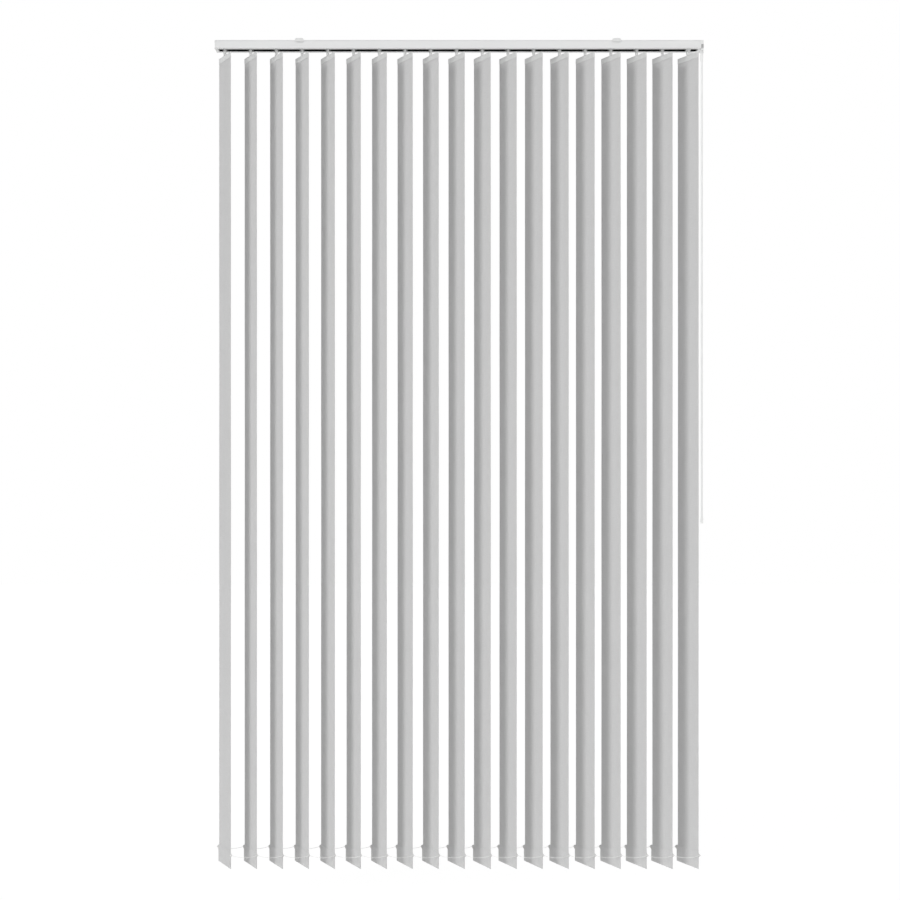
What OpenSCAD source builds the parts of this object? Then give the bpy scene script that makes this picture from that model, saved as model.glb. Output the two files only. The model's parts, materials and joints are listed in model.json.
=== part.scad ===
// Vertical blind: fabric vanes hang from carriers in a headrail, and one wand turns and draws them.
// The origin is on the ceiling plane, midway between the screws of the two clips.
// X runs along the rail, -Y faces the room and Z is up.

/* [Vanes] */
// Number of vanes
vane_count = 19; // [3:1:22]
// Distance between the axes of neighbouring vanes
vane_pitch = 78.3; // [72:0.1:88]
// Width of the fabric
vane_w = 89; // [76:1:100]
// Thickness of the fabric
fabric_t = 0.6; // [0.4:0.1:0.9]
// Drop from the top of the rail to the bottom of the vanes
drop = 2503.5; // [1700:0.5:3000]
// Angle of the vanes' front edge from the line of the rail
vane_angle = -56.9; // [-120:0.1:-50]

/* [Stems and hangers] */
// Diameter of the stem that a vane hangs on
stem_d = 8.5; // [7:0.1:8.7]
// Height of the gear on the stem
gear_h = 6; // [4:0.1:7]
// Number of teeth on the gear
gear_teeth = 12; // [8:1:16]
// Depth of the gear's teeth
tooth_depth = 1; // [0.6:0.1:1.2]
// Gap between the rail's underside and the hanger
hanger_gap = 15; // [11.5:0.1:18]
// Height of the hanger plate
hanger_h = 16.2; // [14:0.1:20]
// Thickness of the hanger plate
hanger_t = 2; // [1.6:0.1:2.4]
// Width of the stem's tongue in the hanger
tongue_w = 7; // [5:0.1:8]
// Depth that the fabric reaches up into the hanger
grip_depth = 4; // [3:0.1:5]

/* [Bottom weights] */
// Thickness of the weight plate
weight_t = 1.2; // [0.8:0.1:1.5]
// Width that the weight plate has beyond each edge of the fabric
weight_overhang = 2.2; // [0.5:0.1:4]
// Distance that the weights sit towards the back edge of the vanes
weight_shift = 2.2; // [0:0.1:3]
// Reach of an ear past the weight plate
ear_reach = 7.6; // [6.5:0.1:11]
// Height of an ear at its root
ear_h = 14; // [12:0.1:22]
// Height of the ear tips above the bottom of the vanes
ear_level = 42.5; // [30:0.5:60]
// Thickness of one ply of the bottom pocket
ply_t = 0.5; // [0.4:0.1:0.6]

/* [Chains] */
// Diameter of the chains between the ears
chain_d = 2; // [1.6:0.1:2.4]
// Sag of a chain between two vanes
chain_sag = 7; // [3:0.5:14]

/* [Headrail] */
// Depth of the rail from front to back
rail_d = 44; // [43:0.1:52]
// Height of the rail
rail_h = 24.8; // [24:0.1:32]
// Wall of the rail
rail_wall = 1.2; // [0.9:0.1:1.5]
// Width of the slot under the rail
slot_w = 23.4; // [20:0.1:26]
// Height of the grip lip along the rail's top edges
grip_lip_h = 1.5; // [1:0.1:2.5]
// Height of the set-back band on the rail's front and back
band_h = 7.8; // [7:0.1:10]
// Depth of the set-back band
band_depth = 0.8; // [0.4:0.1:1]
// Rail from its left end to the first vane
end_left = 27.4; // [24:0.1:60]
// Rail from the last vane to its right end
end_right = 43.6; // [36:0.1:80]

/* [End caps] */
// Flange of the left cap
cap_left_t = 3; // [2:0.1:6]
// Flange of the right cap
cap_right_t = 8.6; // [5:0.1:12]
// Plug of the left cap inside the rail
plug_left = 5.5; // [4:0.1:8]
// Plug of the right cap inside the rail
plug_right = 6.2; // [4:0.1:12]

/* [Ceiling clips] */
// Distance between the two clips
clip_spacing = 960; // [400:10:1200]
// Shift of the rail's middle from the middle between the clips
rail_shift = 3.5; // [-30:0.5:30]
// Width of a clip along the rail
clip_w = 26; // [22:0.5:32]
// Sheet thickness of a clip
clip_t = 1.6; // [1:0.1:2]
// Height of a clip above the rail
clip_rise = 5.5; // [4:0.1:9]
// Depth that a clip reaches down over the rail
clip_lip = 5.5; // [4.5:0.1:7]
// Diameter of the screw hole in a clip
screw_d = 4.5; // [3:0.1:6]

/* [Carriers] */
// Length of a carrier along the rail
carrier_len = 16; // [15:0.1:17]
// Diameter of the wheels
wheel_d = 7; // [6:0.1:7.6]
// Width of the wheels
wheel_w = 3.4; // [2.4:0.1:3.8]
// Diameter of the wheel axles
axle_d = 2.4; // [1.8:0.1:2.8]
// Diameter of the worm that turns the gear
worm_d = 9.2; // [8.4:0.1:9.6]
// Width of the spacer links
link_w = 6; // [4:0.1:7]
// Thickness of the spacer links
link_t = 0.5; // [0.3:0.1:0.6]

/* [Tilt rod] */
// Diameter over the splines of the tilt rod
rod_d = 6.2; // [5:0.1:6.4]
// Number of splines
spline_count = 3; // [3:1:6]

/* [Wand] */
// Diameter of the wand
wand_d = 6.4; // [5:0.1:8]
// Length of the wand
wand_length = 1396; // [500:1:1600]
// Room between the turning vane and the middle of the wand
wand_room = 8; // [7.5:0.1:16]
// Direction from the lead vane's axis to the wand
wand_angle = -49.6; // [-75:0.1:-45]
// Thickness of the wand's arm
arm_t = 3.5; // [2.5:0.1:4.5]
// Width of the wand's arm
arm_w = 7; // [5:0.1:9]

/* [Hidden] */
$fn = 48;

// Clearances: running parts, close fits, one overrun for all cuts
run_gap = 0.3;
fit_gap = 0.05;
cut = 1;

// Rail levels and half depths
rail_length = end_left + (vane_count - 1) * vane_pitch + end_right;
rail_left = rail_shift - rail_length / 2;
rail_right = rail_shift + rail_length / 2;
rail_top = -clip_rise;
rail_bottom = rail_top - rail_h;
roof = rail_top - rail_wall;
lip_top = rail_bottom + rail_wall;
band_bottom = rail_top - grip_lip_h - band_h;
inner_half = rail_d / 2 - rail_wall;
inner_half_top = inner_half - band_depth;
rail_edge_r = 1.5;

// Carrier housing, wheels and bearings
wheel_room = 0.8;
housing_room = 0.8;
housing_edge_r = 1.2;
wheel_out = inner_half_top - wheel_room;
wheel_in = wheel_out - wheel_w;
housing_half = wheel_in - run_gap;
housing_top = roof - housing_room;
housing_bottom = lip_top + housing_room;
wheel_z = lip_top + run_gap + wheel_d / 2;
wheel_x = carrier_len / 4;
axle_head_t = 0.4;
axle_head_rim = 0.7;
axle_head_d = axle_d + 2 * axle_head_rim;
axle_wall = 0.7;
end_wall = 2;

// Worm, gear and tilt rod
chamber_r = worm_d / 2 + run_gap;
rod_z = wheel_z + axle_d / 2 + axle_wall + chamber_r;
gear_r = 5.4;
stem_r = stem_d / 2;
rod_y = gear_r + worm_d / 2 + run_gap;
gear_bottom = rod_z - gear_h / 2;
well_bottom = gear_bottom - run_gap;
well_r = gear_r + run_gap;
worm_len = carrier_len - 2 * (end_wall + run_gap);
worm_threads = 5;
thread_depth = 0.6;
spline_depth = 0.5;
spline_w = 1.6;
spline_gap = 0.15;
journal_d = rod_d - 2 * spline_depth;
journal_len = 3.5;
rod_end_gap = 0.5;

// Spacer links: five lanes one above the other, so that they pass when the vanes are stacked
lane_count = 5;
lane_gap = 0.4;
lane_pitch = link_t + lane_gap;
link_step = 2;
link_head_w = link_w + 2 * link_step;
link_root_w = link_head_w + 2 * link_step;
link_root_x = carrier_len / 8;
link_head_len = 2;

// Vane levels
hanger_top = rail_bottom - hanger_gap;
hanger_bottom = hanger_top - hanger_h;
vane_bottom = rail_top - drop;
hanger_edge_r = 1.5;
tongue_h = 5;
tongue_step = 2.5;
tongue_foot_w = tongue_w + 2 * tongue_step;
tongue_foot_h = 3;

// Bottom weight and pocket
weight_half = vane_w / 2 + weight_overhang;
ear_hole_room = 0.9;
ear_hole_d = chain_d + 2 * ear_hole_room;
ear_wall = 1;
ear_eye_r = ear_hole_d / 2 + ear_wall;
pocket_margin = 2;
pocket_h = ear_level + ear_h / 2 + pocket_margin;
pocket_half_t = weight_t / 2 + fit_gap + ply_t;

// Chains: one bay as shares of the pitch, repeated along the rail
chain_u = weight_half + ear_reach - ear_eye_r;
chain_z = vane_bottom + ear_level;
chain_sides = 8;
bay_shares = [0, 0.25, 0.5, 0.75];

// End caps
cap_proud = 0.4;
plug_gap = 0.2;
recess_border = 0.8;
recess_h = 12;
recess_depth = 1;

// Ceiling clips
clip_gap = 0.1;
clip_round_share = 0.45;
clip_corner_r = clip_round_share * (clip_rise + clip_lip);
clip_rib = 5;
clip_nub = 1;
clip_half = rail_d / 2 + clip_gap + clip_t;

// Wand and its swivel
wand_r = vane_w / 2 + wand_room;
arm_room = 1;
arm_bottom = hanger_top + arm_room;
arm_hub_wall = 1.3;
arm_hub_r = stem_r + run_gap + arm_hub_wall;
flange_margin = 1;
flange_len = carrier_len - 2 * flange_margin;
flange_half = slot_w / 2 - flange_margin;
flange_t = 2;
peg_d = 3;
peg_h = 3;
peg_y = 7;
pin_d = 2.4;
eye_r = 3;
eye_w = 5;
cheek_t = 1.8;
cheek_margin = 0.4;
cheek_half = eye_r + cheek_margin;
eye_room = 0.6;
pin_z = arm_bottom - eye_room - eye_r;
hook_neck_d = 4.8;
hook_drop = 8;
hook_shoulder_d = 7.2;
hook_shoulder_t = 1.5;
spigot_d = 3;
spigot_len = 10;
shoulder_z = pin_z - hook_drop;
socket_wall = 0.9;
socket_d = wand_d + 2 * socket_wall;
socket_grip = 8;
socket_web = 1.5;
socket_top = shoulder_z - run_gap;
socket_bore = spigot_len + run_gap;
wand_top = socket_top - socket_bore - socket_web;
wand_bottom = wand_top - wand_length;
wand_cap_len = 15;
wand_cap_end = 3;

// Colours
paint_white = "#eef0ef";
plastic_white = "#f3f4f3";
plastic_black = "#17181a";
steel = "#b9bcc0";
fabric_grey = "#c9cac9";
weight_white = "#e4e5e4";
chain_white = "#f2f2f0";

function two_digits(i) = i < 10 ? str("0", i) : str(i);
function carrier_name(i) = str("carrier_", two_digits(i));
function vane_name(i) = str("vane_", two_digits(i));
function vane_x(i) = rail_left + end_left + (i - 1) * vane_pitch;
function both_sides(half) = concat(half, [for (k = [len(half) - 1 : -1 : 0]) [-half[k][0], half[k][1]]]);
function lane_z(i) = housing_top - (i % lane_count + 1) * lane_pitch + lane_gap / 2;

// Rectangle of width w and height h, standing on the origin, with round corners
module round_rect(w, h, r) {
    translate([-w / 2 + r, 0]) square([w - 2 * r, h]);
    translate([-w / 2, r]) square([w, h - 2 * r]);
    for (x = [-1, 1], y = [0, 1])
        translate([x * (w / 2 - r), y == 0 ? r : h - r]) circle(r);
}

// A section drawn as depth by height, extruded along the rail from x
module along_rail(x, length) {
    translate([x, 0, 0]) rotate([90, 0, 90]) linear_extrude(length) children();
}

// A round bar along the rail, centred on a point of the section
module bar(x, y, z, d, length) {
    translate([x, y, z]) rotate([0, 90, 0]) cylinder(d = d, h = length);
}

// A box centred on Y, from x and z
module y_box(x, z, size) {
    translate([x, -size[1] / 2, z]) cube(size);
}

// Outer section of the rail with the grip lips and the set-back bands
module rail_outer() {
    lower_h = band_bottom - rail_bottom;
    translate([0, rail_bottom]) round_rect(rail_d, lower_h, rail_edge_r);
    translate([-rail_d / 2, rail_bottom + lower_h / 2]) square([rail_d, lower_h / 2]);
    translate([-rail_d / 2 + band_depth, band_bottom]) square([rail_d - 2 * band_depth, band_h]);
    translate([-rail_d / 2, rail_top - grip_lip_h]) square([rail_d, grip_lip_h]);
}

// Hollow of the rail, wide below the band and narrower behind it
module rail_hollow() {
    translate([-inner_half, lip_top]) square([2 * inner_half, band_bottom - rail_wall - lip_top]);
    translate([-inner_half_top, lip_top]) square([2 * inner_half_top, roof - lip_top]);
}

module headrail() {
    color(paint_white)
    along_rail(rail_left + cap_left_t, rail_length - cap_left_t - cap_right_t)
    difference() {
        rail_outer();
        rail_hollow();
        translate([-slot_w / 2, rail_bottom - cut]) square([slot_w, rail_wall + 2 * cut]);
    }
}

// Flange and plug of a cap, drawn from the rail's end at x = 0 towards +X
module cap_body(flange_t_x, plug_len) {
    plug_half = inner_half_top - plug_gap;
    difference() {
        union() {
            along_rail(0, flange_t_x)
                translate([0, rail_bottom - cap_proud])
                round_rect(rail_d + 2 * cap_proud, rail_h + 2 * cap_proud, rail_edge_r);
            along_rail(0, flange_t_x + plug_len) {
                translate([-plug_half, lip_top + plug_gap])
                    square([2 * plug_half, roof - lip_top - 2 * plug_gap]);
                translate([-slot_w / 2 + plug_gap, rail_bottom])
                    square([slot_w - 2 * plug_gap, (roof - rail_bottom) / 2]);
            }
        }
        bar(flange_t_x + plug_len - journal_len - run_gap, rod_y, rod_z,
            journal_d + 2 * fit_gap, journal_len + run_gap + cut);
    }
}

module end_cap_left() {
    color(plastic_white) translate([rail_left, 0, 0]) cap_body(cap_left_t, plug_left);
}

// The right cap is the mirror image of the left one, with a recess low on its front
module end_cap_right() {
    recess_w = cap_right_t - 2 * recess_border;
    color(plastic_white) translate([rail_right, 0, 0]) difference() {
        mirror([1, 0, 0]) cap_body(cap_right_t, plug_right);
        translate([-cap_right_t + recess_border, -rail_d / 2 - cap_proud - cut, rail_bottom + recess_border])
            cube([recess_w, recess_depth + cut, recess_h]);
    }
}

// Section of a clip: a sheet that bridges the rail, with nubs that hook under its grip lips
module clip_section() {
    nub_z = rail_top - grip_lip_h - clip_gap;
    mouth_half = rail_d / 2 + clip_gap;
    mouth = [
        [mouth_half, rail_top - clip_lip - cut],
        [mouth_half, nub_z - clip_nub],
        [mouth_half - band_depth, nub_z],
        [mouth_half, nub_z],
        [mouth_half, rail_top + fit_gap]];
    difference() {
        translate([-clip_half, rail_top - clip_lip]) square([2 * clip_half, clip_rise + clip_lip]);
        polygon(both_sides(mouth));
        translate([-mouth_half + clip_rib, rail_top])
            square([2 * (mouth_half - clip_rib), clip_rise - clip_t]);
    }
}

module ceiling_clip(x) {
    color(plastic_white) translate([x, 0, 0]) difference() {
        intersection() {
            along_rail(-clip_w / 2, clip_w) clip_section();
            translate([0, clip_half + cut, 0]) rotate([90, 0, 0])
                linear_extrude(2 * (clip_half + cut))
                translate([0, rail_top - clip_lip]) round_rect(clip_w, clip_rise + clip_lip, clip_corner_r);
        }
        translate([0, 0, -clip_t - cut]) cylinder(d = screw_d, h = clip_t + 2 * cut);
    }
}

// Splined rod with a plain journal at each end
module tilt_rod() {
    from = rail_left + cap_left_t + plug_left + rod_end_gap;
    to = rail_right - cap_right_t - plug_right - rod_end_gap;
    color(steel) {
        along_rail(from, to - from) translate([rod_y, rod_z]) {
            circle(d = journal_d);
            intersection() {
                circle(d = rod_d);
                for (k = [0 : spline_count - 1])
                    rotate(k * 360 / spline_count) translate([0, -spline_w / 2]) square([rod_d, spline_w]);
            }
        }
        bar(from - journal_len, rod_y, rod_z, journal_d, to - from + 2 * journal_len);
    }
}

// Block of a carrier with its wells, lanes and bores
module housing(i) {
    root_z = lane_z(i) - fit_gap;
    color(plastic_black) difference() {
        union() {
            translate([0, -housing_half, housing_bottom])
                linear_extrude(housing_top - housing_bottom)
                round_rect(carrier_len, 2 * housing_half, housing_edge_r);
            axles();
        }
        translate([0, 0, housing_bottom - cut])
            cylinder(r = stem_r + fit_gap, h = well_bottom - housing_bottom + 2 * cut);
        translate([0, 0, well_bottom]) cylinder(r = well_r, h = housing_top - well_bottom + cut);
        bar(-worm_len / 2 - run_gap, rod_y, rod_z, 2 * chamber_r, worm_len + 2 * run_gap);
        translate([-worm_len / 2 - run_gap, rod_y, rod_z - chamber_r])
            cube([worm_len + 2 * run_gap, housing_half - rod_y + cut, 2 * chamber_r]);
        bar(-carrier_len, rod_y, rod_z, rod_d + 2 * run_gap, 2 * carrier_len);
        for (k = [0 : lane_count - 1])
            lane_cut(k, i > 1 && k == (i - 1) % lane_count);
        if (i < vane_count)
            y_box(link_root_x - fit_gap, root_z,
                [carrier_len, link_root_w + 2 * fit_gap, link_t + 2 * fit_gap]);
        if (i == vane_count)
            pegs(peg_d + 2 * fit_gap, peg_h + fit_gap);
    }
}

// One lane for the passing links: wide, or narrow where it catches the neighbour's link
module lane_cut(k, narrow) {
    w = (narrow ? link_w : link_head_w) + 2 * run_gap;
    h = lane_pitch + (k == 0 ? cut : 0);
    y_box(-carrier_len, housing_top - (k + 1) * lane_pitch, [2 * carrier_len, w, h]);
}

// Four axles with heads that keep the wheels on
module axles() {
    for (x = [-wheel_x, wheel_x], side = [-1, 1])
        translate([x, side * (housing_half - cut), wheel_z]) rotate([-side * 90, 0, 0]) {
            cylinder(d = axle_d, h = cut + run_gap + wheel_w + fit_gap + axle_head_t);
            translate([0, 0, cut + run_gap + wheel_w + fit_gap]) cylinder(d = axle_head_d, h = axle_head_t);
        }
}

module wheels() {
    color(plastic_black)
    for (x = [-wheel_x, wheel_x], side = [-1, 1])
        translate([x, side * wheel_in, wheel_z]) rotate([-side * 90, 0, 0])
        difference() {
            cylinder(d = wheel_d, h = wheel_w);
            translate([0, 0, -cut]) cylinder(d = axle_d + 2 * fit_gap, h = wheel_w + 2 * cut);
        }
}

// Sleeve with ridges of worm thread, which slides on the splined rod
module worm() {
    thread_pitch = worm_len / worm_threads;
    root = worm_d / 2 - thread_depth;
    bore = rod_d / 2 + spline_gap;
    flank_shares = [[0, 0], [0.2, 0], [0.4, 1], [0.6, 1], [0.8, 0]];
    ridges = [for (k = [0 : worm_threads - 1], s = flank_shares)
        [root + s[1] * thread_depth, (k + s[0]) * thread_pitch]];
    color(plastic_white) translate([-worm_len / 2, rod_y, rod_z]) rotate([0, 90, 0])
        rotate_extrude() polygon(concat([[bore, worm_len], [bore, 0]], ridges, [[root, worm_len]]));
}

// Flat spacer link: root in its own carrier, head beyond the next one
module spacer_link(i) {
    head_x = vane_pitch + carrier_len / 2 + run_gap;
    color(steel) translate([0, 0, lane_z(i)]) linear_extrude(link_t) {
        translate([link_root_x, -link_root_w / 2]) square([carrier_len / 2 - link_root_x, link_root_w]);
        translate([link_root_x, -link_w / 2]) square([head_x + link_head_len - link_root_x, link_w]);
        translate([head_x, -link_head_w / 2]) square([link_head_len, link_head_w]);
    }
}

module carrier(i) {
    translate([vane_x(i), 0, 0]) {
        housing(i);
        wheels();
        worm();
        if (i < vane_count) spacer_link(i);
    }
}

// Two pegs on the wand arm's flange, and their holes in the lead carrier
module pegs(d, h) {
    for (side = [-1, 1])
        translate([0, side * peg_y, housing_bottom - cut]) cylinder(d = d, h = h + cut);
}

// Gear, shaft and the flat tongue that hooks into the hanger
module stem() {
    root = gear_r - tooth_depth;
    tooth_step = 360 / gear_teeth;
    tooth_shares = [[0, 0], [0.3, 0], [0.45, 1], [0.75, 1]];
    outline = [for (k = [0 : gear_teeth - 1], s = tooth_shares)
        let (r = root + s[1] * tooth_depth, a = (k + s[0]) * tooth_step) [r * cos(a), r * sin(a)]];
    color(plastic_white) {
        translate([0, 0, gear_bottom]) linear_extrude(gear_h) polygon(outline);
        translate([0, 0, hanger_top + fit_gap])
            cylinder(r = stem_r, h = gear_bottom + gear_h - hanger_top - fit_gap);
        y_box(-tongue_w / 2, hanger_top - tongue_h, [tongue_w, hanger_t, tongue_h + 2 * fit_gap]);
        y_box(-tongue_foot_w / 2, hanger_top - tongue_h - tongue_foot_h,
            [tongue_foot_w, hanger_t, tongue_foot_h]);
    }
}

// Plate the width of the vane, with a keyhole for the tongue and a slit for the fabric
module hanger() {
    slit_t = fabric_t + 2 * fit_gap;
    color(plastic_white) difference() {
        translate([0, hanger_t / 2, hanger_bottom]) rotate([90, 0, 0])
            linear_extrude(hanger_t) round_rect(vane_w, hanger_h, hanger_edge_r);
        y_box(-tongue_w / 2 - fit_gap, hanger_top - tongue_h,
            [tongue_w + 2 * fit_gap, hanger_t + 2 * cut, tongue_h + cut]);
        y_box(-tongue_foot_w / 2 - fit_gap, hanger_top - tongue_h - tongue_foot_h - fit_gap,
            [tongue_foot_w + 2 * fit_gap, hanger_t + 2 * cut, tongue_foot_h + 2 * fit_gap]);
        y_box(-vane_w, hanger_bottom - cut, [2 * vane_w, slit_t, grip_depth + fit_gap + cut]);
    }
}

// Fabric strip that splits into the two plies of the bottom pocket
module fabric() {
    pocket_top = vane_bottom + pocket_h;
    hollow_half = weight_t / 2 + fit_gap;
    section_half = [
        [fabric_t / 2, hanger_bottom + grip_depth],
        [fabric_t / 2, pocket_top],
        [pocket_half_t, pocket_top - pocket_margin],
        [pocket_half_t, vane_bottom + ply_t],
        [hollow_half, vane_bottom]];
    color(fabric_grey) along_rail(-vane_w / 2, vane_w) difference() {
        polygon(both_sides(section_half));
        translate([-hollow_half, vane_bottom + ply_t])
            square([2 * hollow_half, pocket_h - pocket_margin - ply_t + fit_gap]);
    }
}

// Pointed ear of a weight, with a round eye at its tip
module ear() {
    polygon([
        [weight_half - ear_eye_r, -ear_h / 2],
        [weight_half, -ear_h / 2],
        [chain_u, -ear_eye_r],
        [chain_u, ear_eye_r],
        [weight_half, ear_h / 2],
        [weight_half - ear_eye_r, ear_h / 2]]);
    translate([chain_u, 0]) circle(ear_eye_r);
}

// Weight plate in the pocket, with an ear at each end that a chain passes through
module weight() {
    plate_bottom = vane_bottom + ply_t + fit_gap;
    plate_top = vane_bottom + pocket_h - pocket_margin;
    color(weight_white) translate([-weight_shift, weight_t / 2, 0]) rotate([90, 0, 0])
    linear_extrude(weight_t) difference() {
        union() {
            translate([-weight_half, plate_bottom]) square([2 * weight_half, plate_top - plate_bottom]);
            for (side = [0, 1]) mirror([side, 0]) translate([0, chain_z]) ear();
        }
        for (side = [-1, 1]) translate([side * chain_u, chain_z]) circle(d = ear_hole_d);
    }
}

module vane(i) {
    translate([vane_x(i), 0, 0]) rotate([0, 0, vane_angle]) {
        stem();
        hanger();
        fabric();
        weight();
    }
}

// Plain tube with the route's sag between each pair of ears
module chain(side) {
    tip = (side * chain_u - weight_shift) * [cos(vane_angle), sin(vane_angle)];
    bays = [for (i = [1 : vane_count - 1], s = bay_shares)
        [vane_x(i) + s * vane_pitch + tip[0], tip[1], chain_z - 4 * chain_sag * s * (1 - s)]];
    route = concat(bays, [[vane_x(vane_count) + tip[0], tip[1], chain_z]]);
    rings = len(route);
    points = [for (p = route, k = [0 : chain_sides - 1])
        let (a = k * 360 / chain_sides) p + chain_d / 2 * [0, cos(a), sin(a)]];
    walls = [for (n = [0 : rings - 2], k = [0 : chain_sides - 1])
        let (a = n * chain_sides, b = a + chain_sides, next = (k + 1) % chain_sides)
        [a + k, b + k, b + next, a + next]];
    first = [for (k = [0 : chain_sides - 1]) k];
    last = [for (k = [chain_sides - 1 : -1 : 0]) (rings - 1) * chain_sides + k];
    color(chain_white) polyhedron(points, concat(walls, [first, last]));
}

// Arm from the lead carrier to the wand: flange and pegs, hub round the stem, fork with a pin
module wand_arm() {
    fork_half = eye_w / 2 + run_gap + cheek_t;
    color(plastic_white) translate([vane_x(vane_count), 0, 0]) {
        difference() {
            union() {
                y_box(-flange_len / 2, housing_bottom - flange_t, [flange_len, 2 * flange_half, flange_t]);
                translate([0, 0, arm_bottom]) cylinder(r = arm_hub_r, h = housing_bottom - arm_bottom);
                rotate([0, 0, wand_angle]) y_box(0, arm_bottom, [wand_r, arm_w, arm_t]);
            }
            translate([0, 0, arm_bottom - cut])
                cylinder(r = stem_r + run_gap, h = housing_bottom - arm_bottom + 2 * cut);
        }
        pegs(peg_d, peg_h);
        translate([wand_r * cos(wand_angle), wand_r * sin(wand_angle), 0]) {
            translate([0, 0, arm_bottom]) cylinder(r = fork_half, h = arm_t);
            for (side = [-1, 1])
                y_box(side > 0 ? fork_half - cheek_t : -fork_half, pin_z - cheek_half,
                    [cheek_t, 2 * cheek_half, arm_bottom + arm_t - pin_z + cheek_half]);
            bar(-fork_half, 0, pin_z, pin_d, 2 * fork_half);
        }
    }
}

// Everything on the wand is turned about one upright axis
module at_wand() {
    translate([vane_x(vane_count) + wand_r * cos(wand_angle), wand_r * sin(wand_angle), 0]) children();
}

// Eye on the arm's pin, neck, shoulder and the spigot that the wand turns on
module wand_hook() {
    color(plastic_white) at_wand() difference() {
        union() {
            bar(-eye_w / 2, 0, pin_z, 2 * eye_r, eye_w);
            translate([0, 0, shoulder_z]) cylinder(d = hook_neck_d, h = hook_drop);
            translate([0, 0, shoulder_z]) cylinder(d = hook_shoulder_d, h = hook_shoulder_t);
            translate([0, 0, shoulder_z - spigot_len]) cylinder(d = spigot_d, h = spigot_len + cut);
        }
        bar(-eye_w, 0, pin_z, pin_d + 2 * fit_gap, 2 * eye_w);
    }
}

module wand_socket() {
    color(plastic_white) at_wand() difference() {
        translate([0, 0, wand_top - socket_grip])
            cylinder(d = socket_d, h = socket_top - wand_top + socket_grip);
        translate([0, 0, socket_top - socket_bore])
            cylinder(d = spigot_d + 2 * fit_gap, h = socket_bore + cut);
        translate([0, 0, wand_top - socket_grip - cut])
            cylinder(d = wand_d + 2 * fit_gap, h = socket_grip + cut);
    }
}

module wand_rod() {
    color(plastic_white) at_wand() translate([0, 0, wand_bottom]) cylinder(d = wand_d, h = wand_length);
}

module wand_cap() {
    color(plastic_white) at_wand() difference() {
        translate([0, 0, wand_bottom - wand_cap_end]) cylinder(d = socket_d, h = wand_cap_len);
        translate([0, 0, wand_bottom]) cylinder(d = wand_d + 2 * fit_gap, h = wand_cap_len);
    }
}

headrail();
end_cap_left();
end_cap_right();
ceiling_clip(-clip_spacing / 2);  // ceiling_clip_left
ceiling_clip(clip_spacing / 2);  // ceiling_clip_right
tilt_rod();
wand_arm();
wand_hook();
wand_socket();
wand_rod();
wand_cap();
chain(1);  // front_chain
chain(-1);  // back_chain
for (i = [1 : vane_count]) carrier(i);
for (i = [1 : vane_count]) vane(i);
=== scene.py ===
import json
import math
import random

import bmesh
import bpy
from mathutils import Matrix, Vector

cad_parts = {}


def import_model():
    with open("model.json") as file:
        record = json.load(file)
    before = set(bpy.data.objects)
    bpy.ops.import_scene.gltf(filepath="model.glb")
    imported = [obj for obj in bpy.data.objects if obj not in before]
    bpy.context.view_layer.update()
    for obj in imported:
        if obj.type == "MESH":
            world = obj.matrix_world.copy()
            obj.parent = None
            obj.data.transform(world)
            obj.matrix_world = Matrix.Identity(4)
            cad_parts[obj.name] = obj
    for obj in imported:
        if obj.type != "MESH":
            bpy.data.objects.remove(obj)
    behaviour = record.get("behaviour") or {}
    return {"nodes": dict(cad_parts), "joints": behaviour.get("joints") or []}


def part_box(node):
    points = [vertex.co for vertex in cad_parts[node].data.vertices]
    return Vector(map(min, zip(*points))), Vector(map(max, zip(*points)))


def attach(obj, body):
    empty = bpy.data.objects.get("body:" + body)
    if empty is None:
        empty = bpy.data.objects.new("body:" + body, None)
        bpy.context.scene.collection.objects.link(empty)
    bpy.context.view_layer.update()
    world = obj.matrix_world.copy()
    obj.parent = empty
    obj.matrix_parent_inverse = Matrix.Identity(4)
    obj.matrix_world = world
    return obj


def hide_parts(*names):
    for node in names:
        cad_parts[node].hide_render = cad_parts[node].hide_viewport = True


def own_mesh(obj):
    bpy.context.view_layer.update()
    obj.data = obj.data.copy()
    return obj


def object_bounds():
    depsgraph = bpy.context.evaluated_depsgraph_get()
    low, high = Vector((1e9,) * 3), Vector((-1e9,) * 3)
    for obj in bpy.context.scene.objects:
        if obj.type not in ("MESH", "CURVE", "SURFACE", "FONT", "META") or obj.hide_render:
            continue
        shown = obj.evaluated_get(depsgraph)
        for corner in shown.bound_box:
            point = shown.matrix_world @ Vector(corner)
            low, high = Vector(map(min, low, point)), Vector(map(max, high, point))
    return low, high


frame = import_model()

CAD_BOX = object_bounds()
NODES = frame["nodes"]

# Units and small limits
MM = 0.001
WELD = 1e-5
SHARP_ANGLE = math.radians(32)
FLAT_ANGLE = math.radians(0.5)
FACING = 0.9
SEED = 19

# Where the photograph was taken from, and its square frame
CAMERA_PLACE = (-24.3 * MM, -3804 * MM, -1246 * MM)
CAMERA_LENS = 50
CAMERA_SENSOR = 36

# Light: a soft key from the front left, and white round about that falls off to the left
KEY_LEFT = math.radians(50)
KEY_UP = math.radians(20)
KEY_WIDTH = math.radians(26)
KEY_STRENGTH = 1.15
AMBIENT = 0.7
AMBIENT_SLOPE_SHARE = 0.92
FLOOR_BELOW = 120 * MM
FLOOR_HALF = 9
FLOOR_GREY = 0.9
FLOOR_ROUGHNESS = 0.9
FLOOR_GLOW = 1.05
FLOOR_GLOW_SHARE = 0.88

# The vanes as the frame holds them
VANE_ANGLE = math.radians(-56.9)
VANES = sorted(name for name in NODES if name.startswith("vane_"))
CARRIERS = sorted(name for name in NODES if name.startswith("carrier_"))
AXES = {j["child"]: Vector(j["pos_m"]) for j in frame["joints"] if j["child"] in VANES}
FIRST_X = AXES[VANES[0]].x
PITCH = AXES[VANES[1]].x - FIRST_X

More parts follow.
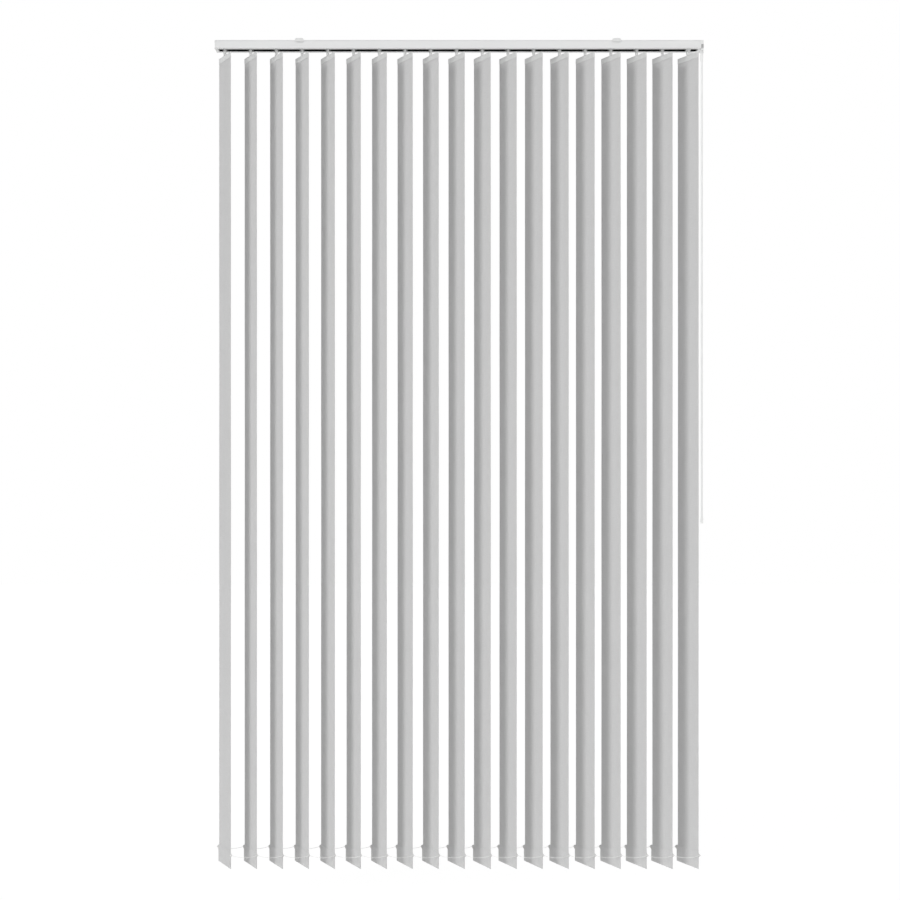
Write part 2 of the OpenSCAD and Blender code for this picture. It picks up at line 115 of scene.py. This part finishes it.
# Fabric: one strip, folded round the weight and sealed at the pocket's top
PLY = 0.5 * MM
STRIP_ROWS = 110
STRIP_COLUMNS = 14
SEAL_OVERLAP = 7 * MM
POCKET_MARGIN = 2 * MM
CURL = 0.45 * MM
CURL_SHARES = (0.6, 1.2)
RIPPLE = 0.2 * MM
RIPPLE_HALF_WAVES = 5

# Pocket: shares of its half depth, each with its distance below the pocket's top, then the fold and the lap
POCKET_PARTS = ((0.35, 1 * MM), (0.85, 2 * MM), (1, 4 * MM))
POCKET_MEETS = ((1, 3 * MM), (0.95, 1 * MM))
POCKET_ROW_SHARES = (0.25, 0.5, 0.75)
FOLD_ANGLES = [math.radians(d) for d in range(0, 181, 30)]
FOLD_DEPTH_SHARE = 0.6
LAP_OFFSET = 1.1 * PLY
LAP_START = 1 * MM

# Seam of the bottom pocket
STITCH_PITCH = 3.6 * MM
STITCH_HALF = (1.35 * MM, 0.16 * MM, 0.24 * MM)
STITCH_PROUD = PLY + 3 * STITCH_HALF[1]
STITCH_FACES = (6, 4)
SEAM_BELOW = 3.5 * MM

# Edges of the moulded pieces
MOULD_EDGE = 0.22 * MM
EDGE_SEGMENTS = 2
EDGE_PROFILE = 0.6

# Chains, as routed through the eyes of the ears
EYE_REACH = 51.4 * MM
WEIGHT_SHIFT = 2.2 * MM
CHAIN_SAG = 7 * MM
CHAIN_ABOVE_BOTTOM = 42.5 * MM
BEAD_R = 0.95 * MM
BEAD_PITCH = 3 * MM
THREAD_R = 0.4 * MM
STOP_R = 2.1 * MM
COLLAR_R = 1.2 * MM
EYE_R = 1.9 * MM
WEIGHT_T = 1.2 * MM
BAY_STEPS = 24
THREAD_SIDES = 6
BEAD_FACES = (8, 5)
STOP_FACES = (16, 10)
COLLAR_FACES = (12, 8)

# Faces of the frame's own pieces that differ: painted shade inside the rail and in the cap's recess, and
# carrier parts
RAIL_SKIN = 1 * MM
CAP_FLANGE = 8.6 * MM
RECESS_DEPTH = 1 * MM
RECESS_SLACK = 0.25 * MM
LINK_FLAT = 2 * MM
HOUSING_DEEP = 25 * MM
WHEEL_DEEP = 5 * MM

# Threads of the fabric, and their shares in its shade and its relief
WARP_PITCH = 0.8 * MM
WEFT_PITCH = 0.7 * MM
WEAVE_DEPTH = 0.09 * MM
SLUB_SHADE_SHARE = 0.42
CLOUD_SHADE_SHARE = 0.16
WEAVE_SHADE_SHARE = 0.035
SLUB_RELIEF_SHARE = 0.6

# Scales of the surface noise along X, Y and Z, per metre
WARP_SLUBS = (900, 900, 30)
WEFT_SLUBS = (45, 45, 1100)
FABRIC_CLOUDS = (9, 9, 5)
ORANGE_PEEL = (420, 420, 420)
DRAW_LINES = (1.5, 900, 900)
PAINT_CLOUDS = (6, 40, 40)
FLOW_MARKS = (70, 70, 25)
ROD_LINES = (3, 2500, 2500)
LINK_LINES = (4, 1800, 1800)

# Depths of the finest relief
PEEL_DEPTH = 0.03 * MM
DRAW_RELIEF_SHARE = 0.4
GRAIN_DEPTH = 0.02 * MM
LINE_DEPTH = 0.01 * MM


# Materials

def new_material(name, color, roughness, **sockets):
    """A material with one Principled shader; sockets sets its other inputs by name."""
    made = bpy.data.materials.new(name)
    made.use_nodes = True
    shader = made.node_tree.nodes["Principled BSDF"]
    shader.inputs["Base Color"].default_value = (*color, 1)
    shader.inputs["Roughness"].default_value = roughness
    for socket, value in sockets.items():
        shader.inputs[socket.replace("_", " ")].default_value = value
    return made, made.node_tree, shader


def link(tree, start, end):
    tree.links.new(start, end)


def object_coords(tree, scale):
    """The piece's own coordinates in metres, times a scale along each axis."""
    coords = tree.nodes.new("ShaderNodeTexCoord")
    mapping = tree.nodes.new("ShaderNodeMapping")
    mapping.inputs["Scale"].default_value = scale
    link(tree, coords.outputs["Object"], mapping.inputs["Vector"])
    return mapping.outputs["Vector"]


def noise(tree, scale, detail):
    texture = tree.nodes.new("ShaderNodeTexNoise")
    texture.inputs["Scale"].default_value = 1
    texture.inputs["Detail"].default_value = detail
    link(tree, object_coords(tree, scale), texture.inputs["Vector"])
    return texture.outputs["Fac"]


def wave(tree, direction, period):
    """Threads across one axis: Blender's wave has a period of a tenth of pi at scale 1."""
    texture = tree.nodes.new("ShaderNodeTexWave")
    texture.bands_direction = direction
    texture.inputs["Scale"].default_value = math.pi / 10 / period
    texture.inputs["Distortion"].default_value = 0
    link(tree, object_coords(tree, (1, 1, 1)), texture.inputs["Vector"])
    return texture.outputs["Fac"]


def math_node(tree, operation, first, second):
    node = tree.nodes.new("ShaderNodeMath")
    node.operation = operation
    for socket, value in zip(node.inputs, (first, second)):
        if isinstance(value, (int, float)):
            socket.default_value = value
        else:
            link(tree, value, socket)
    return node.outputs[0]


def weighted_sum(tree, *pairs):
    """Adds factors, each times its own share."""
    total = 0
    for factor, share in pairs:
        total = math_node(tree, "ADD", total, math_node(tree, "MULTIPLY", factor, share))
    return total


def vary_color(tree, shader, factor, color, shares, start=0.3, end=0.7):
    """The base colour runs between two shares of a colour as factor goes from start to end."""
    ramp = tree.nodes.new("ShaderNodeValToRGB")
    for element, position, share in zip(ramp.color_ramp.elements, (start, end), shares):
        element.position = position
        element.color = (*(c * share for c in color), 1)
    link(tree, factor, ramp.inputs["Fac"])
    link(tree, ramp.outputs["Color"], shader.inputs["Base Color"])


def bump(tree, shader, height, distance, strength):
    node = tree.nodes.new("ShaderNodeBump")
    node.inputs["Strength"].default_value = strength
    node.inputs["Distance"].default_value = distance
    link(tree, height, node.inputs["Height"])
    link(tree, node.outputs["Normal"], shader.inputs["Normal"])


def vary_roughness(tree, shader, factor, low, high):
    spread = tree.nodes.new("ShaderNodeMapRange")
    spread.inputs["To Min"].default_value = low
    spread.inputs["To Max"].default_value = high
    link(tree, factor, spread.inputs["Value"])
    link(tree, spread.outputs["Result"], shader.inputs["Roughness"])


def grey(level):
    return (level, level, level)


def fabric_material(name, color):
    """Plain weave with slubs along both threads and a faint cloudiness."""
    made, tree, shader = new_material(name, color, roughness=0.85, Sheen_Weight=0.15, Sheen_Roughness=0.5)
    weave = math_node(tree, "MULTIPLY", wave(tree, "X", WARP_PITCH), wave(tree, "Z", WEFT_PITCH))
    slubs = math_node(tree, "ADD", noise(tree, WARP_SLUBS, detail=2), noise(tree, WEFT_SLUBS, detail=2))
    clouds = noise(tree, FABRIC_CLOUDS, detail=2)
    shade = weighted_sum(tree, (slubs, SLUB_SHADE_SHARE), (clouds, CLOUD_SHADE_SHARE),
                         (weave, WEAVE_SHADE_SHARE))
    vary_color(tree, shader, shade, color, shares=(0.93, 1.06), start=0.31, end=0.63)
    relief = weighted_sum(tree, (weave, 1), (slubs, SLUB_RELIEF_SHARE))
    bump(tree, shader, relief, WEAVE_DEPTH, strength=0.55)
    return made


def paint_material():
    """Satin white paint on an extrusion: faint draw lines along the rail and a fine orange peel."""
    color = (0.8, 0.805, 0.805)
    made, tree, shader = new_material("rail_paint", color, roughness=0.38,
                                      Coat_Weight=0.15, Coat_Roughness=0.25)
    peel = noise(tree, ORANGE_PEEL, detail=2)
    lines = noise(tree, DRAW_LINES, detail=2)
    vary_color(tree, shader, noise(tree, PAINT_CLOUDS, detail=3), color, shares=(0.975, 1.015))
    vary_roughness(tree, shader, lines, low=0.33, high=0.45)
    bump(tree, shader, weighted_sum(tree, (peel, 1), (lines, DRAW_RELIEF_SHARE)), PEEL_DEPTH, strength=0.5)
    return made


def plastic_material(name, color, roughness, grain=1500.0, **sockets):
    """Moulded plastic: fine spark grain, slight flow marks and uneven gloss."""
    made, tree, shader = new_material(name, color, roughness, **sockets)
    fine = noise(tree, (grain, grain, grain), detail=2)
    vary_color(tree, shader, noise(tree, FLOW_MARKS, detail=3), color, shares=(0.965, 1.02))
    vary_roughness(tree, shader, fine, low=roughness - 0.07, high=roughness + 0.08)
    bump(tree, shader, fine, GRAIN_DEPTH, strength=0.5)
    return made


def metal_material(name, color, roughness, scale):
    """Drawn or rolled metal with fine lines along one direction."""
    made, tree, shader = new_material(name, color, roughness, Metallic=1.0)
    lines = noise(tree, scale, detail=3)
    vary_color(tree, shader, lines, color, shares=(0.85, 1.08))
    vary_roughness(tree, shader, lines, low=roughness - 0.08, high=roughness + 0.12)
    bump(tree, shader, lines, LINE_DEPTH, strength=0.4)
    return made


FABRIC = fabric_material("vane_fabric", grey(0.65))
PAINT = paint_material()
# Painted shade: near black on the faces inside the rail, standing in for the shade there.
RAIL_INSIDE_SHADE = plastic_material("rail_inside_painted_shade", grey(0.006), 0.85, 700.0)
CAP = plastic_material("cap_plastic", (0.83, 0.835, 0.83), 0.45)
# Painted shade: grey on the right cap's front recess, standing in for the shade in it.
RECESS_SHADE = plastic_material("recess_painted_shade", grey(0.4), 0.5)
CLIP = plastic_material("clip_plastic", (0.76, 0.765, 0.76), 0.4)
STEM = plastic_material("stem_plastic", (0.8, 0.805, 0.8), 0.42)
HANGER = plastic_material("hanger_plastic", (0.75, 0.755, 0.75), 0.42)
WEIGHT = plastic_material("weight_plastic", (0.66, 0.66, 0.655), 0.5)
THREAD = plastic_material("seam_thread", grey(0.66), 0.7, 4000.0)
CARRIER = plastic_material("carrier_plastic", grey(0.012), 0.45)
WHEEL = plastic_material("wheel_plastic", grey(0.03), 0.35)
WORM = plastic_material("worm_plastic", (0.55, 0.55, 0.53), 0.35)
CHAIN = plastic_material("chain_plastic", (0.92, 0.92, 0.91), 0.25, 3000.0, Coat_Weight=0.3)
WAND = plastic_material("wand_plastic", (0.84, 0.845, 0.84), 0.28, 1200.0,
                        Coat_Weight=0.3, Coat_Roughness=0.2)
ROD = metal_material("rod_metal", (0.72, 0.73, 0.75), 0.32, ROD_LINES)
LINK = metal_material("link_steel", (0.62, 0.63, 0.65), 0.28, LINK_LINES)


# Meshes

def place_key(point):
    """The same key for points that lie on one place."""
    return tuple(round(c / WELD) for c in point)


def solids_of(mesh):
    """Groups a mesh's polygons into its separate solids, by the places that their corners share."""
    places, owner, key_of = {}, [], []

    def find(a):
        while owner[a] != a:
            owner[a] = owner[owner[a]]
            a = owner[a]
        return a

    for vertex in mesh.vertices:
        key = place_key(vertex.co)
        if key not in places:
            places[key] = len(owner)
            owner.append(len(owner))
        key_of.append(places[key])
    for polygon in mesh.polygons:
        for corner in polygon.vertices:
            owner[find(key_of[corner])] = find(key_of[polygon.vertices[0]])
    groups = {}
    for polygon in mesh.polygons:
        groups.setdefault(find(key_of[polygon.vertices[0]]), []).append(polygon.index)
    return list(groups.values())


def box_of(points):
    points = list(points)
    return [Vector(pick(p[k] for p in points) for k in range(3)) for pick in (min, max)]


def solid_box(mesh, polygons):
    return box_of(mesh.vertices[c].co for i in polygons for c in mesh.polygons[i].vertices)


def copied_solid(mesh, polygons, place):
    """One solid of a mesh as a welded bmesh, in the coordinates of the place given."""
    local = place.inverted()
    made = bmesh.new()
    corners = {}
    for index in polygons:
        face = []
        for corner in mesh.polygons[index].vertices:
            point = mesh.vertices[corner].co
            key = place_key(point)
            if key not in corners:
                corners[key] = made.verts.new(local @ point)
            face.append(corners[key])
        if len(set(face)) == len(face):
            made.faces.new(face)
    bmesh.ops.recalc_face_normals(made, faces=made.faces)
    return made


def soften(made, edge):
    """Joins flat triangles into whole faces and rounds the sharp edges."""
    bmesh.ops.dissolve_limit(made, angle_limit=FLAT_ANGLE, verts=made.verts, edges=made.edges)
    sharp = [e for e in made.edges if e.is_manifold and e.calc_face_angle(0) > SHARP_ANGLE]
    bmesh.ops.bevel(made, geom=sharp, offset=edge, segments=EDGE_SEGMENTS, profile=EDGE_PROFILE,
                    affect="EDGES", clamp_overlap=True)


def finished_mesh(made, name, material):
    """Turns a bmesh into a mesh with smooth faces and sharp edges where it turns."""
    for face in made.faces:
        face.smooth = True
    for edge in made.edges:
        edge.smooth = edge.is_manifold and edge.calc_face_angle(0) < SHARP_ANGLE
    mesh = bpy.data.meshes.new(name)
    made.to_mesh(mesh)
    made.free()
    mesh.materials.append(material)
    return mesh


def new_piece(name, mesh, place, body):
    piece = bpy.data.objects.new(name, mesh)
    bpy.context.scene.collection.objects.link(piece)
    piece.matrix_world = place
    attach(piece, body)
    return piece


def add_ball(made, place, radii, segments, rings):
    stretch = Matrix.Translation(place) @ Matrix.Diagonal((*radii, 1))
    bmesh.ops.create_uvsphere(made, u_segments=segments, v_segments=rings, radius=1, matrix=stretch)


def add_tube(made, points, radius, sides):
    """A thin thread along points that run mostly along X."""
    rows = []
    for p in points:
        row = []
        for s in range(sides):
            b = 2 * math.pi * s / sides
            row.append(made.verts.new(p + Vector((0, radius * math.cos(b), radius * math.sin(b)))))
        rows.append(row)
    for here, there in zip(rows, rows[1:]):
        for s in range(sides):
            made.faces.new((here[s], there[s], there[(s + 1) % sides], here[(s + 1) % sides]))
    made.faces.new(rows[0])
    made.faces.new(list(reversed(rows[-1])))


# Camera, light and floor

def camera():
    made = bpy.data.objects.new("camera", bpy.data.cameras.new("camera"))
    made.data.lens = CAMERA_LENS
    made.data.sensor_width = CAMERA_SENSOR
    made.location = CAMERA_PLACE
    made.rotation_euler = (math.pi / 2, 0, 0)
    bpy.context.scene.collection.objects.link(made)
    bpy.context.scene.camera = made


def seen_directly(tree):
    """1 for the rays that look at or mirror the background, 0 for the rays that light the object."""
    path = tree.nodes.new("ShaderNodeLightPath")
    seen = math_node(tree, "MAXIMUM", path.outputs["Is Camera Ray"], path.outputs["Is Glossy Ray"])
    return math_node(tree, "MAXIMUM", seen, path.outputs["Is Transmission Ray"])


def world():
    made = bpy.data.worlds.new("studio")
    made.use_nodes = True
    bpy.context.scene.world = made
    tree = made.node_tree
    tree.nodes.clear()
    output = tree.nodes.new("ShaderNodeOutputWorld")
    around = tree.nodes.new("ShaderNodeBackground")
    white = tree.nodes.new("ShaderNodeBackground")
    mix = tree.nodes.new("ShaderNodeMixShader")
    direction = tree.nodes.new("ShaderNodeTexCoord")
    sides = tree.nodes.new("ShaderNodeSeparateXYZ")
    link(tree, direction.outputs["Generated"], sides.inputs["Vector"])
    slope = math_node(tree, "MULTIPLY", sides.outputs["X"], AMBIENT * AMBIENT_SLOPE_SHARE)
    link(tree, math_node(tree, "ADD", slope, AMBIENT), around.inputs["Strength"])
    around.inputs["Color"].default_value = (1, 1, 1, 1)
    white.inputs["Color"].default_value = (1, 1, 1, 1)
    white.inputs["Strength"].default_value = 1
    link(tree, seen_directly(tree), mix.inputs["Fac"])
    link(tree, around.outputs[0], mix.inputs[1])
    link(tree, white.outputs[0], mix.inputs[2])
    link(tree, mix.outputs[0], output.inputs["Surface"])


def key_light():
    lamp = bpy.data.lights.new("key", "SUN")
    lamp.energy = KEY_STRENGTH
    lamp.angle = KEY_WIDTH
    made = bpy.data.objects.new("key", lamp)
    flat = math.cos(KEY_UP)
    towards = Vector((-math.sin(KEY_LEFT) * flat, -math.cos(KEY_LEFT) * flat, math.sin(KEY_UP)))
    made.rotation_euler = (-towards).to_track_quat("-Z", "Y").to_euler()
    bpy.context.scene.collection.objects.link(made)


def floor():
    """A pale floor that looks white to the camera and still takes the object's shadow."""
    made, tree, shader = new_material("floor", grey(FLOOR_GREY), FLOOR_ROUGHNESS)
    glow = tree.nodes.new("ShaderNodeEmission")
    glow.inputs["Strength"].default_value = FLOOR_GLOW
    mix = tree.nodes.new("ShaderNodeMixShader")
    link(tree, math_node(tree, "MULTIPLY", seen_directly(tree), FLOOR_GLOW_SHARE), mix.inputs["Fac"])
    link(tree, shader.outputs[0], mix.inputs[1])
    link(tree, glow.outputs[0], mix.inputs[2])
    link(tree, mix.outputs[0], tree.nodes["Material Output"].inputs["Surface"])
    low = CAD_BOX[0][2] - FLOOR_BELOW
    mesh = bpy.data.meshes.new("floor")
    corners = [(x * FLOOR_HALF, y * FLOOR_HALF, low) for x, y in ((-1, -1), (1, -1), (1, 1), (-1, 1))]
    mesh.from_pydata(corners, [], [(0, 1, 2, 3)])
    mesh.materials.append(made)
    piece = bpy.data.objects.new("floor", mesh)
    bpy.context.scene.collection.objects.link(piece)


# Chains

def chain_route(side):
    """The route from eye to eye, one sagging bay after another."""
    tip = Vector((math.cos(VANE_ANGLE), math.sin(VANE_ANGLE), 0)) * (EYE_REACH * side - WEIGHT_SHIFT)
    level = CAD_BOX[0][2] + CHAIN_ABOVE_BOTTOM
    points = []
    for bay in range(len(VANES) - 1):
        for step in range(BAY_STEPS):
            s = step / BAY_STEPS
            x = FIRST_X + (bay + s) * PITCH + tip.x
            points.append(Vector((x, tip.y, level - 4 * CHAIN_SAG * s * (1 - s))))
    points.append(Vector((AXES[VANES[-1]].x + tip.x, tip.y, level)))
    return points


def along(points, spacing):
    """Points at even spacing along a route."""
    made, left = [points[0]], spacing
    for a, b in zip(points, points[1:]):
        length = (b - a).length
        while left <= length:
            made.append(a.lerp(b, left / length))
            left += spacing
        left -= length
    return made


def chain_stop(name, vane, side, face):
    """A bead with a collar, seated in the eye of an end vane on the face away from the chain."""
    seat = WEIGHT_T / 2 + math.sqrt(STOP_R ** 2 - EYE_R ** 2)
    place = Vector((EYE_REACH * side - WEIGHT_SHIFT, face * seat, CAD_BOX[0][2] + CHAIN_ABOVE_BOTTOM))
    made = bmesh.new()
    add_ball(made, place, (STOP_R, STOP_R, STOP_R), *STOP_FACES)
    add_ball(made, place + Vector((0, face * STOP_R, 0)), (COLLAR_R, COLLAR_R, COLLAR_R), *COLLAR_FACES)
    return new_piece(name, finished_mesh(made, name, CHAIN), vane_place(vane), vane)


def chain(name, side):
    route = chain_route(side)
    made = bmesh.new()
    for place in along(route, BEAD_PITCH):
        add_ball(made, place, (BEAD_R, BEAD_R, BEAD_R), *BEAD_FACES)
    add_tube(made, route, THREAD_R, THREAD_SIDES)
    mesh = finished_mesh(made, name + "_beads", CHAIN)
    piece = new_piece(name + "_beads", mesh, Matrix.Identity(4), name)
    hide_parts(name)
    stops = [
        chain_stop(name + "_first_stop", VANES[0], side, -1),
        chain_stop(name + "_last_stop", VANES[-1], side, 1),
    ]
    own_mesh(piece)


# Vanes

def vane_place(name):
    axis = AXES[name]
    return Matrix.Translation((axis.x, axis.y, 0)) @ Matrix.Rotation(VANE_ANGLE, 4, "Z")


def vane_solids():
    """The first vane's stem, hanger, fabric and weight, as polygon groups from the top down."""
    mesh = NODES[VANES[0]].data
    groups = solids_of(mesh)
    by_top = sorted(groups, key=lambda g: -solid_box(mesh, g)[1].z)
    return dict(zip(("stem", "hanger", "fabric", "weight"), by_top))


def local_solid(polygons):
    return copied_solid(NODES[VANES[0]].data, polygons, vane_place(VANES[0]))


def local_box(polygons):
    made = local_solid(polygons)
    box = box_of(v.co.copy() for v in made.verts)
    made.free()
    return box


def moulded(polygons, name, material):
    """A rigid solid of the vane with its edges rounded."""
    made = local_solid(polygons)
    soften(made, MOULD_EDGE)
    return finished_mesh(made, name, material)


def strip_profile(top, bottom, pocket_top, hollow_half):
    """The strip's path as (depth, height): down from the hanger, round the weight and up to the lap."""
    side = hollow_half + PLY / 2
    path = [(0, top + (pocket_top - top) * k / STRIP_ROWS) for k in range(STRIP_ROWS + 1)]
    low = bottom + PLY / 2
    path += [(-share * side, pocket_top - below) for share, below in POCKET_PARTS]
    path += [(-side, pocket_top + (low - pocket_top) * share) for share in POCKET_ROW_SHARES]
    path += [(-side * math.cos(a), low + side * FOLD_DEPTH_SHARE * (1 - math.sin(a))) for a in FOLD_ANGLES]
    path += [(side, pocket_top + (low - pocket_top) * share) for share in reversed(POCKET_ROW_SHARES)]
    path += [(share * side, pocket_top - below) for share, below in POCKET_MEETS]
    path += [(LAP_OFFSET, pocket_top + LAP_START), (LAP_OFFSET, pocket_top + SEAL_OVERLAP)]
    return path


def strip_mesh(name, width, path, top, pocket_top, rng):
    """The strip as a grid with a ripple and a slight curl about its own mean, then given its thickness."""
    made = bmesh.new()
    curl = CURL * rng.uniform(*CURL_SHARES)
    phase = rng.uniform(0, 2 * math.pi)
    rows = []
    for depth, height in path:
        share = min(max((top - height) / (top - pocket_top), 0), 1)
        hang = math.sin(math.pi * share)
        ripple = RIPPLE * math.sin(RIPPLE_HALF_WAVES * math.pi * share + phase)
        row = []
        for c in range(STRIP_COLUMNS + 1):
            across = 2 * c / STRIP_COLUMNS - 1
            bow = hang * (curl * (across * across - 1 / 3) + ripple * across)
            row.append(made.verts.new((across * width / 2, depth + bow, height)))
        rows.append(row)
    for here, there in zip(rows, rows[1:]):
        for c in range(STRIP_COLUMNS):
            made.faces.new((here[c], here[c + 1], there[c + 1], there[c]))
    bmesh.ops.recalc_face_normals(made, faces=made.faces)
    bmesh.ops.solidify(made, geom=made.faces[:], thickness=PLY)
    return finished_mesh(made, name, FABRIC)


def seam_mesh(width, height):
    """Two rows of stitches through the plies, one on each face."""
    made = bmesh.new()
    count = int(width / STITCH_PITCH) - 1
    for k in range(count):
        for face in (-1, 1):
            place = Vector(((k - (count - 1) / 2) * STITCH_PITCH, face * STITCH_PROUD, height))
            add_ball(made, place, STITCH_HALF, *STITCH_FACES)
    return finished_mesh(made, "vane_seam", THREAD)


def vanes():
    groups = vane_solids()
    strip_low, strip_high = local_box(groups["fabric"])
    weight_high = local_box(groups["weight"])[1]
    width = strip_high.x - strip_low.x
    pocket_top = weight_high.z + POCKET_MARGIN
    path = strip_profile(strip_high.z, strip_low.z, pocket_top, weight_high.y)
    meshes = {
        "stem": moulded(groups["stem"], "vane_stem", STEM),
        "hanger": moulded(groups["hanger"], "vane_hanger", HANGER),
        "weight": moulded(groups["weight"], "vane_weight", WEIGHT),
        "seam": seam_mesh(width, pocket_top + SEAM_BELOW),
    }
    rng = random.Random(SEED)
    for name in VANES:
        place = vane_place(name)
        sewn = strip_mesh(name + "_fabric", width, path, strip_high.z, pocket_top, rng)
        fabric = new_piece(name + "_fabric", sewn, place, name)
        pieces = {
            part: new_piece(f"{name}_{part}", mesh, place, name)
            for part, mesh in meshes.items()
        }
        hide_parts(name)


# Finish of the frame's own pieces, with painted shade inside the rail, in the right cap's recess and on the
# wand arm's root

def paint_faces(node, materials, choose):
    """Gives each face of a node one of several materials, by its own centre and normal."""
    mesh = NODES[node].data
    mesh.materials.clear()
    for material in materials:
        mesh.materials.append(material)
    for polygon in mesh.polygons:
        polygon.material_index = choose(polygon)


def headrail_paint_and_shade():
    low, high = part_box("headrail")

    def in_hollow(polygon):
        c = polygon.center
        across = low.y + RAIL_SKIN < c.y < high.y - RAIL_SKIN
        upright = low.z + RAIL_SKIN < c.z < high.z - RAIL_SKIN
        end_face = abs(polygon.normal.x) > FACING
        return int(across and upright and not end_face)

    # Faces inside the rail get the near-black painted shade; the outside keeps the rail's paint.
    paint_faces("headrail", [PAINT, RAIL_INSIDE_SHADE], in_hollow)


def cap_recess_shade():
    low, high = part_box("end_cap_right")

    def in_recess(polygon):
        c = polygon.center
        at_depth = abs(c.y - low.y - RECESS_DEPTH) < RECESS_SLACK
        on_flange = c.x > high.x - CAP_FLANGE
        return int(at_depth and on_flange and polygon.normal.y < -FACING)

    # Front faces at the recess's depth get the grey painted shade; the rest keeps the cap's plastic.
    paint_faces("end_cap_right", [CAP, RECESS_SHADE], in_recess)


def carrier_material(size):
    """Steel link, black housing, dark wheels and pale worm, told apart by their sizes."""
    if size.z < LINK_FLAT:
        return LINK
    if size.y > HOUSING_DEEP:
        return CARRIER
    if size.y < WHEEL_DEEP:
        return WHEEL
    return WORM


def carrier_finish(node):
    mesh = NODES[node].data
    materials = [CARRIER, WHEEL, WORM, LINK]
    mesh.materials.clear()
    for material in materials:
        mesh.materials.append(material)
    for group in solids_of(mesh):
        low, high = solid_box(mesh, group)
        index = materials.index(carrier_material(high - low))
        for i in group:
            mesh.polygons[i].material_index = index


def arm_paint_and_root_shade():
    """The wand's arm is pale; its part inside the rail gets the black carrier plastic as painted shade."""
    slot_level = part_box("headrail")[0].z
    # Faces above the rail's underside get the black carrier plastic as painted shade inside the rail.
    paint_faces("wand_arm", [WAND, CARRIER], lambda polygon: int(polygon.center.z > slot_level))


def plain_finish(material, *nodes):
    for node in nodes:
        paint_faces(node, [material], lambda polygon: 0)


def finishes_and_shade():
    headrail_paint_and_shade()
    cap_recess_shade()
    for node in CARRIERS:
        carrier_finish(node)
    plain_finish(CAP, "end_cap_left")
    plain_finish(CLIP, "ceiling_clip_left", "ceiling_clip_right")
    plain_finish(ROD, "tilt_rod")
    arm_paint_and_root_shade()
    plain_finish(WAND, "wand_hook", "wand_socket", "wand_rod", "wand_cap")


bpy.context.scene.view_settings.view_transform = "Standard"
camera()
chain("front_chain", 1)
chain("back_chain", -1)
world()
key_light()
floor()
vanes()
finishes_and_shade()
